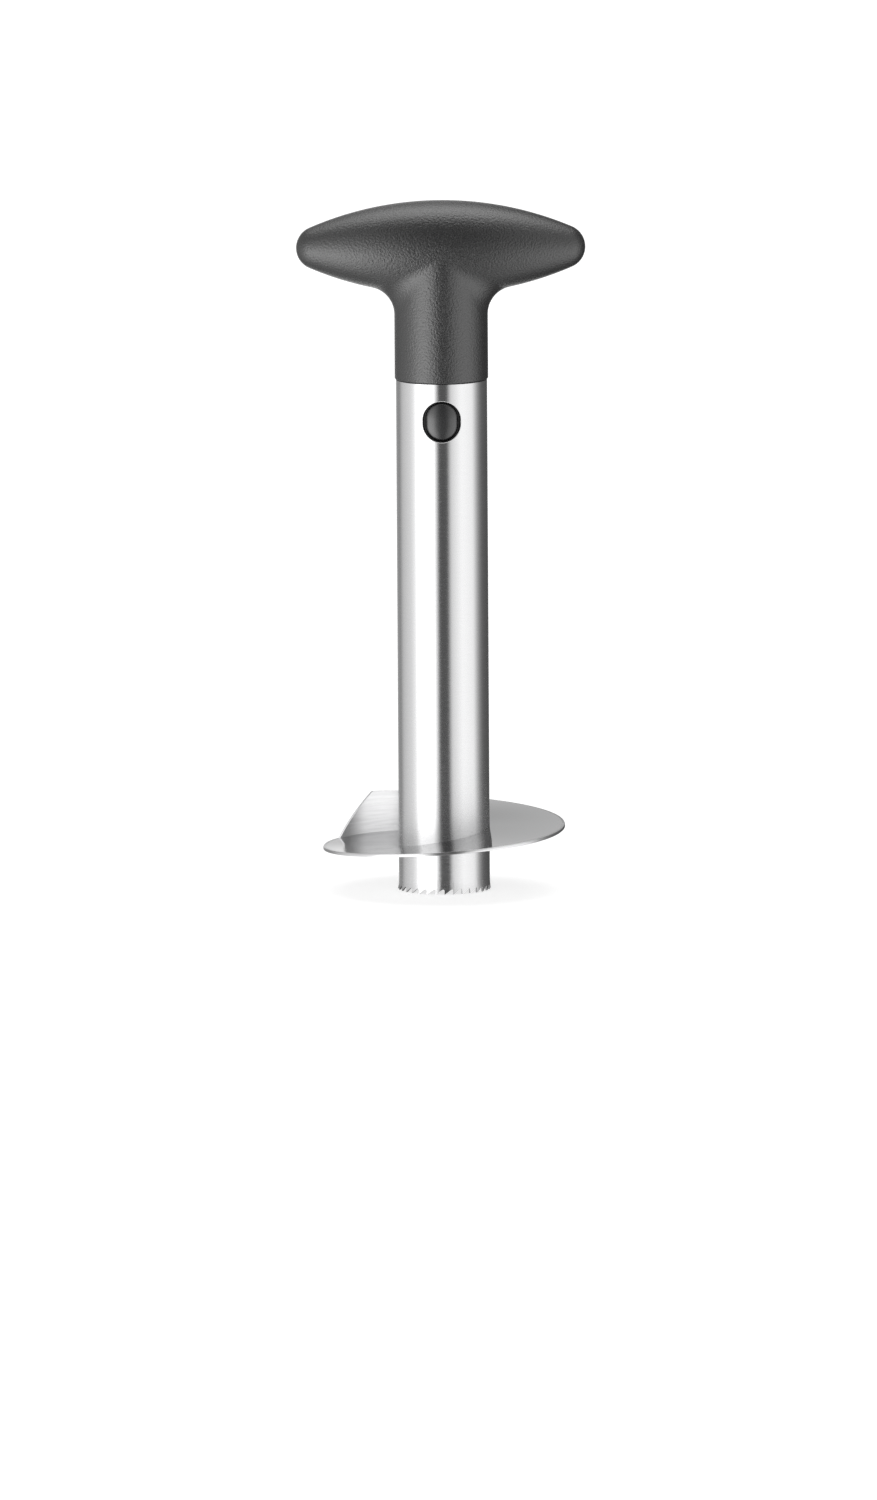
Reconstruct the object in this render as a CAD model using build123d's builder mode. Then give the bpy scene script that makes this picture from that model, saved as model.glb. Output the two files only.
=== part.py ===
from build123d import *
import math
import os

os.makedirs("parts", exist_ok=True)

# Pineapple slicer, standing on its tooth tips. The origin is on the tube's axis at the tips,
# +Z points up to the grip and -Y is the front, where one of the two lock buttons shows.
# Lengths are in millimetres and angles in degrees. Angles about Z start at +X and run
# anticlockwise seen from above, and the tool is turned clockwise to cut.

# Corer tube: thin-walled, with a flared and toothed lower rim and two button windows
tube_diameter = 32.0
tube_wall = 0.7
tube_length = 180.2
flare_length = 3.2
flare_growth = 0.25
tooth_count = 32
tooth_depth = 1.8
tooth_land = 0.12
window_side_gap = 1.2
window_end_gap = 0.5
window_drop = 13.2

# Tooth gullet, in shares of the pitch along the rim and of the tooth depth
back_run_share = 0.6
back_rise_share = 0.8
crest_start_share = 0.76
crest_end_share = 0.92
flank_run_share = 1.06
flank_rise_share = 0.72

# Slicing blade: a flat lead-in, then a helical turn. Levels are those of its top face
blade_diameter = 85.0
blade_thickness = 1.0
blade_seat_gap = 0.05
lead_in_level = 15.2
blade_rise = 12.1
lead_edge_angle = 91.0
lead_in_end_angle = 168.0
blend_angle = 50.0
trail_edge_angle = 449.0
ramp_point_count = 25
trail_corner_radius = 5.0

# Perimeter knife: the lead-in's rim bent upright, with a slanted trailing edge
knife_height = 13.8
knife_foot_angle = 150.0
knife_top_angle = 127.0
bend_radius = 0.8
knife_corner_radius = 1.2

# Ground cutting edges of the lead-in and the perimeter knife
bevel_width = 2.2
edge_land = 0.2

# Weld bead between blade and tube, under the blade
bead_size = 0.9
bead_end_angle = 4.0

# T handle: a textured grip moulded over a rigid core
bar_length = 101.3
bar_swell = 0.2
nose_radius = 8.2
bar_axis_height = 46.4
stem_overhang = 0.5
stem_lip = 0.6
neck_radius = 9.0
grip_skin = 2.2
tip_skin = 6.0
core_bore_wall = 1.35
core_bore_depth = 34.0

# Lock housing: the plug that carries the buttons inside the tube
plug_clearance = 0.1
plug_length = 30.8
cap_thickness = 3.4
cap_lead_in = 0.8
locating_gap = 0.2
locating_length = 6.0
pocket_gap = 0.4
button_guide_length = 3.2
stop_wall_thickness = 1.9
stop_wall_top_gap = 1.2

# Lock buttons and their spring
button_width_share = 0.344
button_straight = 2.592
button_gap = 0.15
button_proud = 0.2
button_edge_radius = 1.3
button_travel = 2.5
flange_thickness = 1.6
flange_side_lap = 1.0
flange_end_lap = 1.7
spigot_diameter = 5.2
spigot_length = 3.2
spring_diameter = 7.3
spring_wire = 0.7
spring_turns = 6
spring_turn_steps = 10
spring_wire_sides = 6
spring_end_gap = 0.1

# Screws that hold cap, housing and core together
screw_diameter = 3.5
screw_engagement = 12.0
screw_edge_wall = 1.2
screw_head_diameter = 5.6
screw_head_height = 2.0
screw_socket_size = 2.5
screw_socket_depth = 1.2
screw_play = 0.1
screw_hole_spare = 1.5

# How far a cutting shape runs past what it cuts
overrun = 1.0

# Sizes worked out from the ones above
tube_radius = tube_diameter / 2
bore_radius = tube_radius - tube_wall
button_width = button_width_share * tube_diameter
button_height = button_width + button_straight
window_width = button_width + 2 * window_side_gap
window_height = button_height + 2 * window_end_gap
window_level = tube_length - window_drop
tooth_pitch = (tube_radius + flare_growth) * math.sin(2 * math.pi / tooth_count)
blade_radius = blade_diameter / 2
blade_seat_radius = tube_radius + blade_seat_gap
bend_outer_radius = bend_radius + blade_thickness
ramp_angle = trail_edge_angle - lead_in_end_angle
stem_radius = tube_radius + stem_overhang
bar_radius = stem_radius + bar_swell
bar_reach = bar_length / 2
bar_level = tube_length + bar_axis_height
bar_plane = Plane(origin=(0, 0, bar_level), x_dir=(1, 0, 0), z_dir=(0, -1, 0))
bar_axis = Axis((0, 0, bar_level), (1, 0, 0))
nose_centre = bar_reach - nose_radius
bar_sweep_radius = (nose_centre**2 + bar_radius**2 - nose_radius**2) / (2 * (bar_radius - nose_radius))
nose_turn = math.atan2(bar_sweep_radius - bar_radius, nose_centre)
nose_join = (nose_centre + nose_radius * math.cos(nose_turn), nose_radius * math.sin(nose_turn))
nose_middle = (
    nose_centre + nose_radius * math.cos(nose_turn / 2),
    nose_radius * math.sin(nose_turn / 2),
)
core_radius = stem_radius - grip_skin
core_reach = bar_reach - tip_skin
core_tip_radius = nose_join[1] - grip_skin
plug_radius = bore_radius - plug_clearance
plug_bottom = tube_length - plug_length
pocket_half_depth = plug_radius - button_guide_length
cap_top = plug_bottom + cap_thickness
flange_width = button_width + 2 * flange_side_lap
flange_height = button_height + 2 * flange_end_lap
pocket_width = flange_width + 2 * pocket_gap
pocket_ceiling = window_level + flange_height / 2 + pocket_gap
flange_inner = pocket_half_depth - flange_thickness
stop_wall_reach = flange_inner - button_travel
crown_radius = tube_radius + button_proud
screw_radius = screw_diameter / 2
screw_offset = plug_radius - screw_edge_wall - screw_play - screw_head_diameter / 2
core_bore_radius = screw_offset - screw_radius - core_bore_wall
screw_head_level = plug_bottom + screw_head_height + screw_play
screw_tip_level = tube_length + screw_engagement


def polar(radius, angle, level=0):
    """The point at a radius and an angle about Z."""
    turn = math.radians(angle)
    return Vector(radius * math.cos(turn), radius * math.sin(turn), level)


def facing_out(angle, level):
    """The plane through the axis that looks outwards at an angle, its X along the rim, its Y up."""
    return Plane(origin=(0, 0, level), x_dir=polar(1, angle + 90), z_dir=polar(1, angle))


def blade_level(angle):
    """The height of the blade's top face: flat, then rising faster, then at a steady rate."""
    run = max(angle - lead_in_end_angle, 0)
    steady_run = ramp_angle - blend_angle / 2
    if run < blend_angle:
        return lead_in_level + blade_rise * run**2 / (2 * blend_angle) / steady_run
    return lead_in_level + blade_rise * (run - blend_angle / 2) / steady_run


def ramp_face(inner, outer, drop, end_angle):
    """A helical ribbon between two radii, a given drop below the blade's top face."""
    span = end_angle - lead_in_end_angle
    steps = [lead_in_end_angle + span * n / (ramp_point_count - 1) for n in range(ramp_point_count)]
    inside = Spline(*[polar(inner, a, blade_level(a) - drop) for a in steps])
    outside = Spline(*[polar(outer, a, blade_level(a) - drop) for a in steps])
    return Face.make_surface_from_curves(inside.edge(), outside.edge())


def sector(inner, outer, start, end, level):
    """A flat ring sector at a level."""
    with BuildSketch(Plane.XY.offset(level)) as ring:
        with BuildLine():
            CenterArc((0, 0), outer, start, end - start)
            Line(polar(outer, end), polar(inner, end))
            CenterArc((0, 0), inner, start, end - start)
            Line(polar(inner, start), polar(outer, start))
        make_face()
    return ring.sketch


# Corer tube
tooth_plane = Plane(origin=(0, 0, 0), x_dir=(0, 1, 0), z_dir=(1, 0, 0))
with BuildPart() as gullet:
    with BuildSketch(tooth_plane):
        with BuildLine():
            Polyline(
                (tooth_land, -overrun),
                (tooth_land, 0),
                (back_run_share * tooth_pitch, back_rise_share * tooth_depth),
                (crest_start_share * tooth_pitch, tooth_depth),
                (crest_end_share * tooth_pitch, tooth_depth),
                (flank_run_share * tooth_pitch, flank_rise_share * tooth_depth),
                (tooth_pitch, 0),
                (tooth_pitch, -overrun),
                close=True,
            )
        make_face()
    extrude(amount=tube_radius + overrun)

with BuildPart() as corer_tube:
    with BuildSketch(Plane.XZ):
        with BuildLine():
            Polyline(
                (bore_radius + flare_growth, 0),
                (tube_radius + flare_growth, 0),
                (tube_radius, flare_length),
                (tube_radius, tube_length),
                (bore_radius, tube_length),
                (bore_radius, flare_length),
                close=True,
            )
        make_face()
    revolve(axis=Axis.Z)
    with BuildSketch(Plane.XZ):
        with Locations((0, window_level)):
            SlotOverall(window_height, window_width, rotation=90)
    extrude(amount=tube_radius + overrun, both=True, mode=Mode.SUBTRACT)
    with PolarLocations(0, tooth_count):
        add(gullet.part, mode=Mode.SUBTRACT)
corer_tube.part.label = "corer_tube"

# Perimeter knife, bent up from the lead-in's rim
with BuildPart() as knife:
    start = lead_edge_angle
    with BuildSketch(Plane(origin=(0, 0, 0), x_dir=polar(1, start), z_dir=polar(1, start - 90))):
        bend_centre = (blade_radius - bend_outer_radius, lead_in_level + bend_radius)
        wall_inside = blade_radius - blade_thickness
        knife_top = lead_in_level + knife_height
        with BuildLine():
            CenterArc(bend_centre, bend_outer_radius, -90, 90)
            Polyline(
                (blade_radius, bend_centre[1]),
                (blade_radius, knife_top),
                (wall_inside, knife_top),
                (wall_inside, bend_centre[1]),
            )
            CenterArc(bend_centre, bend_radius, -90, 90)
            Line((bend_centre[0], lead_in_level), (bend_centre[0], lead_in_level - blade_thickness))
        make_face()
    revolve(axis=Axis.Z, revolution_arc=knife_foot_angle - lead_edge_angle)
    slant_angle = (knife_foot_angle + knife_top_angle) / 2
    slant_run = blade_radius * math.sin(math.radians(knife_foot_angle - slant_angle))
    with BuildSketch(facing_out(slant_angle, lead_in_level)):
        with BuildLine():
            Polyline(
                (slant_run, 0),
                (-slant_run, knife_height),
                (-slant_run, knife_height + overrun),
                (slant_run + overrun, knife_height + overrun),
                (slant_run + overrun, 0),
                close=True,
            )
        make_face()
    extrude(amount=blade_radius + overrun, mode=Mode.SUBTRACT)
    with BuildSketch(Plane.XY.offset(bend_centre[1])):
        along = polar(1, start + 90)
        with BuildLine():
            Polyline(
                polar(wall_inside + edge_land, start) - along * overrun,
                polar(wall_inside + edge_land, start),
                polar(blade_radius, start) + along * bevel_width,
                polar(blade_radius + overrun, start) + along * bevel_width,
                polar(blade_radius + overrun, start) - along * overrun,
                close=True,
            )
        make_face()
    extrude(amount=knife_height, mode=Mode.SUBTRACT)

# Slicing blade
with BuildPart() as slicing_blade:
    under = lead_in_level - blade_thickness
    bend_start = blade_radius - bend_outer_radius
    extrude(
        sector(blade_seat_radius, bend_start, lead_edge_angle, knife_foot_angle, under),
        amount=blade_thickness,
    )
    extrude(
        sector(blade_seat_radius, blade_radius, knife_foot_angle, lead_in_end_angle, under),
        amount=blade_thickness,
    )
    with BuildSketch(facing_out(lead_edge_angle, lead_in_level)):
        with BuildLine():
            Polyline(
                (0, edge_land - blade_thickness),
                (bevel_width, 0),
                (bevel_width, overrun),
                (-overrun, overrun),
                (-overrun, edge_land - blade_thickness),
                close=True,
            )
        make_face()
    extrude(amount=bend_start, mode=Mode.SUBTRACT)
    add(knife.part)
    extrude(
        ramp_face(blade_seat_radius, blade_radius, 0, trail_edge_angle),
        amount=blade_thickness,
        dir=(0, 0, -1),
    )
    rim_end = polar(blade_radius, trail_edge_angle, blade_level(trail_edge_angle) - blade_thickness / 2)
    fillet(slicing_blade.edges().sort_by_distance(rim_end)[0], radius=trail_corner_radius)
    slant_top = polar(blade_radius - blade_thickness / 2, knife_top_angle, knife_top)
    fillet(slicing_blade.edges().sort_by_distance(slant_top)[0], radius=knife_corner_radius)
slicing_blade.part.label = "slicing_blade"

# Weld bead
with BuildPart() as blade_weld:
    bead_level = lead_in_level - blade_thickness - bead_size
    bead_start = lead_edge_angle + bead_end_angle
    bead_end = trail_edge_angle - bead_end_angle
    bead_outside = tube_radius + bead_size
    extrude(sector(tube_radius, bead_outside, bead_start, lead_in_end_angle, bead_level), amount=bead_size)
    bead_face = ramp_face(tube_radius, bead_outside, blade_thickness, bead_end)
    extrude(bead_face, amount=bead_size, dir=(0, 0, -1))
blade_weld.part.label = "blade_weld"

# Core blank: tapered arms on a round stem
with BuildPart() as core_blank:
    with BuildSketch(bar_plane):
        with BuildLine():
            Polyline(
                (0, 0),
                (core_reach, 0),
                (core_reach, core_tip_radius),
                (0, core_radius),
                (-core_reach, core_tip_radius),
                (-core_reach, 0),
                close=True,
            )
        make_face()
    revolve(axis=bar_axis)
    with BuildSketch(Plane.XY.offset(tube_length)):
        Circle(core_radius)
    extrude(amount=bar_axis_height)

# Grip, a spindle bar filleted into a round stem, moulded over the blank
with BuildPart() as handle_grip:
    with BuildSketch(bar_plane):
        with BuildLine():
            ThreePointArc((-nose_join[0], nose_join[1]), (0, bar_radius), nose_join)
            ThreePointArc(nose_join, nose_middle, (bar_reach, 0))
            Line((bar_reach, 0), (-bar_reach, 0))
            ThreePointArc((-bar_reach, 0), (-nose_middle[0], nose_middle[1]), (-nose_join[0], nose_join[1]))
        make_face()
    revolve(axis=bar_axis)
    with BuildSketch(Plane.XY.offset(tube_length)):
        Circle(stem_radius)
    extrude(amount=bar_axis_height)
    fillet(handle_grip.edges().filter_by(GeomType.BSPLINE), radius=neck_radius)
    chamfer(handle_grip.edges().filter_by(GeomType.CIRCLE).group_by(Axis.Z)[0], length=stem_lip)
    add(core_blank.part, mode=Mode.SUBTRACT)
handle_grip.part.label = "handle_grip"

# Core, with its bore and screw holes
with BuildPart() as handle_core:
    add(core_blank.part)
    with BuildSketch(Plane.XY.offset(tube_length)):
        Circle(core_bore_radius)
    extrude(amount=core_bore_depth, mode=Mode.SUBTRACT)
    with BuildSketch(Plane.XY.offset(tube_length)):
        with Locations((-screw_offset, 0), (screw_offset, 0)):
            Circle(screw_radius)
    extrude(amount=screw_engagement + screw_hole_spare, mode=Mode.SUBTRACT)
handle_core.part.label = "handle_core"

# Lock housing
with BuildPart() as lock_housing:
    with BuildSketch(Plane.XY.offset(cap_top)):
        Circle(plug_radius)
    extrude(amount=tube_length - cap_top)
    with BuildSketch(Plane.XY.offset(tube_length)):
        Circle(core_bore_radius - locating_gap)
    extrude(amount=locating_length)
    with BuildSketch(Plane.XY.offset(cap_top)):
        Rectangle(pocket_width, 2 * pocket_half_depth)
    extrude(amount=pocket_ceiling - cap_top, mode=Mode.SUBTRACT)
    with BuildSketch(Plane.XZ):
        with Locations((0, window_level)):
            SlotOverall(button_height + 2 * button_gap, button_width + 2 * button_gap, rotation=90)
    extrude(amount=plug_radius + overrun, both=True, mode=Mode.SUBTRACT)
    with BuildSketch(Plane.XY.offset(cap_top)):
        with Locations((-screw_offset, 0), (screw_offset, 0)):
            Circle(screw_radius + screw_play)
    extrude(amount=tube_length - cap_top, mode=Mode.SUBTRACT)
lock_housing.part.label = "lock_housing"

# Lock cap, with the two walls that stop the buttons
with BuildPart() as lock_cap:
    with BuildSketch(Plane.XY.offset(plug_bottom)):
        Circle(plug_radius)
    extrude(amount=cap_thickness)
    chamfer(lock_cap.edges().filter_by(GeomType.CIRCLE).group_by(Axis.Z)[0], length=cap_lead_in)
    with BuildSketch(Plane.XY.offset(cap_top)):
        wall_offset = (flange_width - stop_wall_thickness) / 2
        with Locations((-wall_offset, 0), (wall_offset, 0)):
            Rectangle(stop_wall_thickness, 2 * stop_wall_reach)
    extrude(amount=pocket_ceiling - stop_wall_top_gap - cap_top)
    with BuildSketch(Plane.XY.offset(plug_bottom)):
        with Locations((-screw_offset, 0), (screw_offset, 0)):
            Circle(screw_radius + screw_play)
    extrude(amount=cap_thickness, mode=Mode.SUBTRACT)
    with BuildSketch(Plane.XY.offset(plug_bottom)):
        with Locations((-screw_offset, 0), (screw_offset, 0)):
            Circle(screw_head_diameter / 2 + screw_play)
    extrude(amount=screw_head_height + screw_play, mode=Mode.SUBTRACT)
lock_cap.part.label = "lock_cap"

# Lock screws
with BuildPart() as lock_screws:
    spots = ((-screw_offset, 0), (screw_offset, 0))
    with BuildSketch(Plane.XY.offset(screw_head_level - screw_head_height)):
        with Locations(*spots):
            Circle(screw_head_diameter / 2)
    extrude(amount=screw_head_height)
    with BuildSketch(Plane.XY.offset(screw_head_level)):
        with Locations(*spots):
            Circle(screw_radius - screw_play / 2)
    extrude(amount=screw_tip_level - screw_head_level)
    with BuildSketch(Plane.XY.offset(screw_head_level - screw_head_height)):
        with Locations(*spots):
            RegularPolygon(screw_socket_size / 2, 6, major_radius=False)
    extrude(amount=screw_socket_depth, mode=Mode.SUBTRACT)
lock_screws.part.label = "lock_screws"

# Lock buttons
with BuildPart() as button_front:
    with BuildSketch(Plane.XZ.offset(pocket_half_depth)):
        with Locations((0, window_level)):
            SlotOverall(button_height, button_width, rotation=90)
    extrude(amount=crown_radius - pocket_half_depth + overrun)
    with BuildSketch(Plane.XY.offset(window_level - button_height)):
        Circle(crown_radius)
    extrude(amount=2 * button_height, mode=Mode.INTERSECT)
    crown = button_front.faces().sort_by(Axis.Y)[0]
    fillet(crown.edges(), radius=button_edge_radius)
    with BuildSketch(Plane.XZ.offset(flange_inner)):
        with Locations((0, window_level)):
            Rectangle(flange_width, flange_height)
    extrude(amount=flange_thickness)
    with BuildSketch(Plane.XZ.offset(flange_inner - spigot_length)):
        with Locations((0, window_level)):
            Circle(spigot_diameter / 2)
    extrude(amount=spigot_length)
button_front.part.label = "button_front"

with BuildPart() as button_rear:
    mirror(button_front.part, about=Plane.XZ)
button_rear.part.label = "button_rear"

# Button spring, a coil along Y between the two flanges
with BuildPart() as button_spring:
    coil_radius = (spring_diameter - spring_wire) / 2
    coil_reach = flange_inner - spring_end_gap - spring_wire / 2
    step_count = spring_turns * spring_turn_steps
    rise = 2 * coil_reach / step_count
    step_angle = 360 / spring_turn_steps
    for step in range(step_count + 1):
        outwards = polar(1, step * step_angle)
        out = Vector(outwards.X, 0, outwards.Y)
        along = Vector(-outwards.Y, 0, outwards.X) * coil_radius * math.radians(step_angle)
        centre = out * coil_radius + Vector(0, step * rise - coil_reach, window_level)
        with BuildSketch(Plane(origin=centre, x_dir=out, z_dir=along + Vector(0, rise, 0))):
            RegularPolygon(spring_wire / 2, spring_wire_sides)
    loft(ruled=True)
button_spring.part.label = "button_spring"

pieces = (
    corer_tube,
    slicing_blade,
    blade_weld,
    handle_grip,
    handle_core,
    lock_housing,
    lock_cap,
    lock_screws,
    button_front,
    button_rear,
    button_spring,
)
for piece in pieces:
    export_step(piece.part, f"parts/{piece.part.label}.step")
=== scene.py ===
"""A pineapple slicer in soft studio light: brushed steel tube and helical blade, pebbled T grip.

Lengths are in metres and angles in degrees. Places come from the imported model, and the pieces
made here stand for its nodes with a finer surface.
"""

import math

import bmesh
import bpy
from bpy.props import FloatProperty, FloatVectorProperty, IntProperty, PointerProperty
from mathutils import Matrix, Vector


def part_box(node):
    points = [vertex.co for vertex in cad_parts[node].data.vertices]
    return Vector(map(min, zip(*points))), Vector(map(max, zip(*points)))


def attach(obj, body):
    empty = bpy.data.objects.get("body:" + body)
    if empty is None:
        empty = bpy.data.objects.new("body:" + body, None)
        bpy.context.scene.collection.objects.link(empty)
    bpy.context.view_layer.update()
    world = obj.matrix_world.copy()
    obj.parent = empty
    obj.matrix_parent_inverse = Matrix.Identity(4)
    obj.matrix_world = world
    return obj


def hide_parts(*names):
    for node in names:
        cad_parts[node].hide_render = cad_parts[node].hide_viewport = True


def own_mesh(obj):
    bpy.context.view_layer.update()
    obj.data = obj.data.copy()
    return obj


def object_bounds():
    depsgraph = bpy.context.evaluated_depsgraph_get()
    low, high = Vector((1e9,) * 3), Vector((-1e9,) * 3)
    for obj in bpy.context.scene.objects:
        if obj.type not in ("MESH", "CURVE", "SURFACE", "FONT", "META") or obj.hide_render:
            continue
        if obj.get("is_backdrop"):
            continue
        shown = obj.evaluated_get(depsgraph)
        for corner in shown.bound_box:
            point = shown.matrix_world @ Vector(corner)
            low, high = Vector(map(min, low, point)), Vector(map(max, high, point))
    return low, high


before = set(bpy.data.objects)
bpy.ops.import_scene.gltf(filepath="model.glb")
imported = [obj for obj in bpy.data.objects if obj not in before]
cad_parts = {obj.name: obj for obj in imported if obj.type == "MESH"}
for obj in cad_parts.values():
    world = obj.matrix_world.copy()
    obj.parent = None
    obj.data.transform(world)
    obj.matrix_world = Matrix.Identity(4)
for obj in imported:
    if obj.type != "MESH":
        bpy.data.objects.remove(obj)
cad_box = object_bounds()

bl_info = {
    "name": "Pineapple Slicer",
    "version": (1, 0, 0),
    "blender": (4, 5, 0),
    "location": "View3D > Sidebar > Slicer",
    "description": "Builds the finished pieces, the studio and the camera of a pineapple slicer",
    "category": "Object",
}

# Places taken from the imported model
tube_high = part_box("corer_tube")[1]
blade_low, blade_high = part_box("slicing_blade")
grip_low, grip_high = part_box("handle_grip")
button_low, button_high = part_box("button_front")
spring_low, spring_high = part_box("button_spring")
button_level = (button_low.z + button_high.z) / 2

# Points of a mesh that lie closer than the first are one, and edges shorter than the second go
merge_distance = 1e-6
smallest_edge = 1e-7


# Sizes and colours that a user would change

class TubeSizes(bpy.types.PropertyGroup):
    flare_growth: FloatProperty(
        name="Flare growth", description="How far the foot of the tube opens", default=0.00025, unit="LENGTH")
    flare_length: FloatProperty(
        name="Flare length", description="Height of the flared foot", default=0.0032, unit="LENGTH")
    wall: FloatProperty(
        name="Wall", description="Thickness of the tube's wall", default=0.0007, unit="LENGTH")
    tooth_count: IntProperty(
        name="Teeth", description="Number of teeth round the foot", default=32)
    tooth_depth: FloatProperty(
        name="Tooth depth", description="Depth of the gullets", default=0.0018, unit="LENGTH")
    window_width: FloatProperty(
        name="Window width", description="Width of a button window", default=0.0134, unit="LENGTH")
    window_height: FloatProperty(
        name="Window height", description="Height of a button window", default=0.0146, unit="LENGTH")
    window_edge: FloatProperty(
        name="Window edge", description="Width of the broken edge of a button window", default=0.00014,
        unit="LENGTH")
    steel: FloatVectorProperty(
        name="Tube steel", description="Colour of the tube", default=(0.78, 0.78, 0.785), subtype="COLOR")


class BladeSizes(bpy.types.PropertyGroup):
    thickness: FloatProperty(
        name="Thickness", description="Thickness of the sheet", default=0.001, unit="LENGTH")
    lead_edge: FloatProperty(
        name="Lead edge", description="Angle of the cutting edge about Z", default=91.0)
    flat_end: FloatProperty(
        name="Flat end", description="Angle at which the blade starts to rise", default=168.0)
    blend: FloatProperty(
        name="Blend", description="Angle over which the rise begins", default=50.0)
    rise: FloatProperty(
        name="Rise", description="Height of the upper end over the flat", default=0.0117, unit="LENGTH")
    trail_edge: FloatProperty(
        name="Trail edge", description="Angle of the blade's upper end", default=449.0)
    knife_foot: FloatProperty(
        name="Knife foot", description="Angle at which the upright knife's slant starts", default=151.5)
    knife_top: FloatProperty(
        name="Knife top", description="Angle at which the slant reaches the top", default=127.0)
    knife_height: FloatProperty(
        name="Knife height", description="Height of the knife over the blade, half way along", default=0.0138,
        unit="LENGTH")
    knife_drop: FloatProperty(
        name="Knife drop", description="How much lower the knife is at the cutting edge than at its slant",
        default=0.0017, unit="LENGTH")
    bend_radius: FloatProperty(
        name="Bend radius", description="Inner radius of the knife's bend", default=0.00012, unit="LENGTH")
    bevel_width: FloatProperty(
        name="Bevel width", description="Width of the ground edges", default=0.0022, unit="LENGTH")
    edge_land: FloatProperty(
        name="Edge land", description="Thickness left at the ground edges", default=0.0002, unit="LENGTH")
    edge_break: FloatProperty(
        name="Edge break", description="Height of the steep bevel on the sheet's upper rim", default=0.0004,
        unit="LENGTH")
    trail_corner: FloatProperty(
        name="Trail corner", description="Radius of the upper end's outer corner", default=0.005,
        unit="LENGTH")
    knife_corner: FloatProperty(
        name="Knife corner", description="Radius of the knife's top corner", default=0.0012, unit="LENGTH")
    steel: FloatVectorProperty(
        name="Blade steel", description="Colour of the blade", default=(0.78, 0.78, 0.785), subtype="COLOR")


class GripSizes(bpy.types.PropertyGroup):
    bar_radius: FloatProperty(
        name="Bar radius", description="Radius of the bar at its middle", default=0.01652, unit="LENGTH")
    nose_radius: FloatProperty(
        name="Nose radius", description="Radius of the bar's ends", default=0.0077, unit="LENGTH")
    stem_radius: FloatProperty(
        name="Stem radius", description="Radius of the stem", default=0.01638, unit="LENGTH")
    neck_radius: FloatProperty(
        name="Neck radius", description="Radius of the fillet between bar and stem", default=0.0098,
        unit="LENGTH")
    stem_lip: FloatProperty(
        name="Stem lip", description="Chamfer round the stem's foot", default=0.0006, unit="LENGTH")
    core_tip: FloatProperty(
        name="Core tip", description="Radius of the core's ends", default=0.00537, unit="LENGTH")
    charcoal: FloatVectorProperty(
        name="Charcoal", description="Colour of the grip", default=(0.012, 0.012, 0.0125), subtype="COLOR")


class LockSizes(bpy.types.PropertyGroup):
    button_width: FloatProperty(
        name="Button width", description="Width of a button's face", default=0.011, unit="LENGTH")
    button_height: FloatProperty(
        name="Button height", description="Height of a button's face", default=0.0136, unit="LENGTH")
    dome_drop: FloatProperty(
        name="Dome drop", description="How far a button's face falls off to its rim", default=0.0003,
        unit="LENGTH")
    dome_reach: FloatProperty(
        name="Dome reach", description="Width of the sloping rim of a button's face", default=0.0035,
        unit="LENGTH")
    dome_radius: FloatProperty(
        name="Dome radius", description="Radius of a button's face from top to bottom", default=0.022,
        unit="LENGTH")
    flange_thickness: FloatProperty(
        name="Flange thickness", description="Thickness of a button's flange", default=0.0016, unit="LENGTH")
    spigot_radius: FloatProperty(
        name="Spigot radius", description="Radius of the spigot in the spring", default=0.0026, unit="LENGTH")
    spigot_length: FloatProperty(
        name="Spigot length", description="Length of the spigot in the spring", default=0.0032, unit="LENGTH")
    wire: FloatProperty(
        name="Spring wire", description="Diameter of the spring's wire", default=0.0007, unit="LENGTH")
    spring_turns: IntProperty(
        name="Spring turns", description="Number of turns of the spring", default=6)
    black: FloatVectorProperty(
        name="Lock black", description="Colour of the lock's housing", default=(0.006, 0.006, 0.0065),
        subtype="COLOR")


class StudioSizes(bpy.types.PropertyGroup):
    camera_distance: FloatProperty(
        name="Camera distance", description="Distance from camera to tool", default=12.0, unit="LENGTH")
    camera_elevation: FloatProperty(
        name="Camera elevation", description="Angle of the camera over the horizon", default=8.0)
    camera_roll: FloatProperty(
        name="Camera roll", description="Lean of the tool in the picture, anticlockwise", default=0.34)
    view_height: FloatProperty(
        name="View height", description="Height of the view at the tool", default=0.5263, unit="LENGTH")
    floor_reach: FloatProperty(
        name="Floor reach", description="Half the side of the floor", default=14.0, unit="LENGTH")


# Small helpers for node trees and meshes

def socket(sockets, key):
    """The socket of a number, or the first enabled one of a name."""
    if isinstance(key, int):
        return sockets[key]
    return next(s for s in sockets if s.name == key and s.enabled)


def add_node(tree, kind, inputs=None, **settings):
    """Adds a node. The inputs map a socket's name or number to a value or to another node's output."""
    node = tree.nodes.new(kind)
    for name, value in settings.items():
        setattr(node, name, value)
    for key, value in (inputs or {}).items():
        if isinstance(value, bpy.types.NodeSocket):
            tree.links.new(value, socket(node.inputs, key))
        else:
            socket(node.inputs, key).default_value = value
    return node


def result(node):
    """The first enabled output of a node."""
    return next(s for s in node.outputs if s.enabled)


def math_node(tree, operation, *values, clamp=False):
    """Adds a math node and gives its output."""
    node = add_node(tree, "ShaderNodeMath", dict(enumerate(values)), operation=operation, use_clamp=clamp)
    return node.outputs[0]


def noise(tree, place, scale=1.0, detail=2.0, roughness=0.5):
    """The height of a noise pattern at a place."""
    return add_node(tree, "ShaderNodeTexNoise", {
        "Vector": place, "Scale": scale, "Detail": detail, "Roughness": roughness}).outputs[0]


def spread(tree, value, low, high, start=0.0, end=1.0):
    """Turns a value from start to end into one from low to high."""
    return add_node(tree, "ShaderNodeMapRange", {
        "Value": value, "From Min": start, "From Max": end, "To Min": low, "To Max": high}).outputs[0]


def mixed(tree, share, first, second):
    """A colour between two, by a share; each is a colour with its alpha or an output."""
    return result(add_node(tree, "ShaderNodeMix", {
        "Factor": share, "A": first, "B": second}, data_type="RGBA"))


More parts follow.
